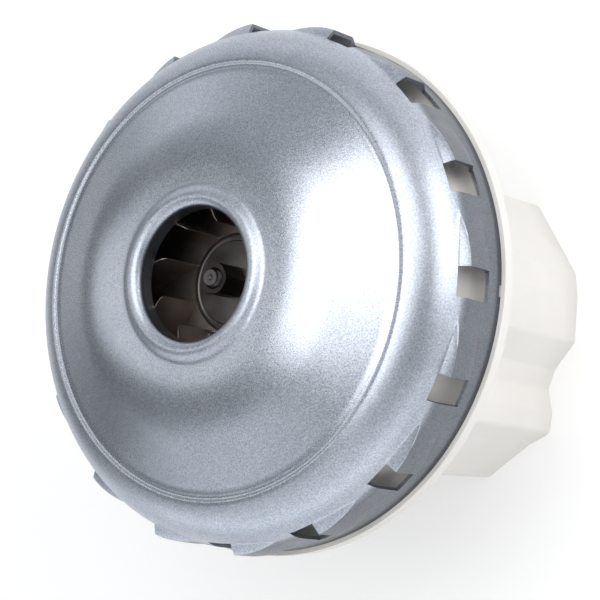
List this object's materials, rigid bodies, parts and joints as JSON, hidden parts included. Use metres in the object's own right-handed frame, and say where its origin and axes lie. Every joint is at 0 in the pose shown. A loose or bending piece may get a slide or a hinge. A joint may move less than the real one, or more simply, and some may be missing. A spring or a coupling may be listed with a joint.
{
  "type": "vacuum motor unit",
  "caption": "Vacuum motor unit: a commutator motor in a flanged moulded housing drives a centrifugal impeller under a domed steel cover with a central air inlet and louvred side outlets.",
  "frame": {"origin": "on the shaft axis, in the plane of the housing's rear edge, on which the unit stands", "axes": "+Z along the shaft, from the rear edge to the air inlet; +X along the brushes"},
  "size_m": [0.1438, 0.1438, 0.1175],
  "materials": {
    "cover_steel": "satin zinc plate",
    "fan_aluminium": "mill finish",
    "dark_steel": "blackened",
    "bright_steel": "turned",
    "screw_steel": "zinc plate",
    "bearing_steel": "ground",
    "lamination_steel": "stamped laminations",
    "enamelled_copper": "wire enamel",
    "commutator_copper": "turned copper",
    "housing_moulding": "matt thermoset moulding",
    "black_plastic": "moulded",
    "rubber": "moulded",
    "brass": "pressed strip",
    "tinned_brass": "tin plate",
    "carbon": "pressed carbon"
  },
  "bodies": {
    "frame": {"fan_cover": "cover_steel", "front_bearing_outer_ring": "bearing_steel", "front_bearing_balls": "bearing_steel", "bearing_retainer": "bright_steel", "retainer_screws": "screw_steel", "rear_bearing_outer_ring": "bearing_steel", "rear_bearing_balls": "bearing_steel", "bearing_sleeve": "rubber", "stator_core": "lamination_steel", "stator_coil_a": "enamelled_copper", "stator_coil_b": "enamelled_copper", "stator_screws": "screw_steel", "motor_housing": "housing_moulding", "bearing_bridge": "housing_moulding", "bridge_screws": "screw_steel", "brush_tube_a": "brass", "brush_tube_b": "brass", "brush_clip_a": "brass", "brush_clip_b": "brass", "brush_spring_a": "screw_steel", "brush_spring_b": "screw_steel", "terminal_block": "black_plastic", "supply_terminals": "tinned_brass", "rear_cover": "housing_moulding"},
    "rotor": {"shaft": "bright_steel", "impeller_back_disc": "fan_aluminium", "impeller_front_disc": "fan_aluminium", "impeller_blades": "fan_aluminium", "hub_washer": "dark_steel", "shaft_nut": "dark_steel", "shaft_spacer": "bright_steel", "front_bearing_inner_ring": "bearing_steel", "rear_bearing_inner_ring": "bearing_steel", "armature_core": "lamination_steel", "armature_winding": "enamelled_copper", "commutator_bars": "commutator_copper", "commutator_core": "black_plastic", "cooling_fan": "black_plastic"},
    "brush_a": {"brush_a": "carbon"},
    "brush_b": {"brush_b": "carbon"}
  },
  "joints": [
    {"name": "rotor_spin", "type": "hinge", "parent": "frame", "child": "rotor", "pos_m": [0, 0, 0.05], "axis": [0, 0, -1], "continuous": true},
    {"name": "brush_a_slide", "type": "slide", "parent": "frame", "child": "brush_a", "axis": [1, 0, 0], "range_m": [0, 0.006], "stiffness_N_per_m": 150, "springref_m": -0.01, "deforming": ["brush_spring_a"]},
    {"name": "brush_b_slide", "type": "slide", "parent": "frame", "child": "brush_b", "axis": [-1, 0, 0], "range_m": [0, 0.006], "stiffness_N_per_m": 150, "springref_m": -0.01, "deforming": ["brush_spring_b"]}
  ]
}
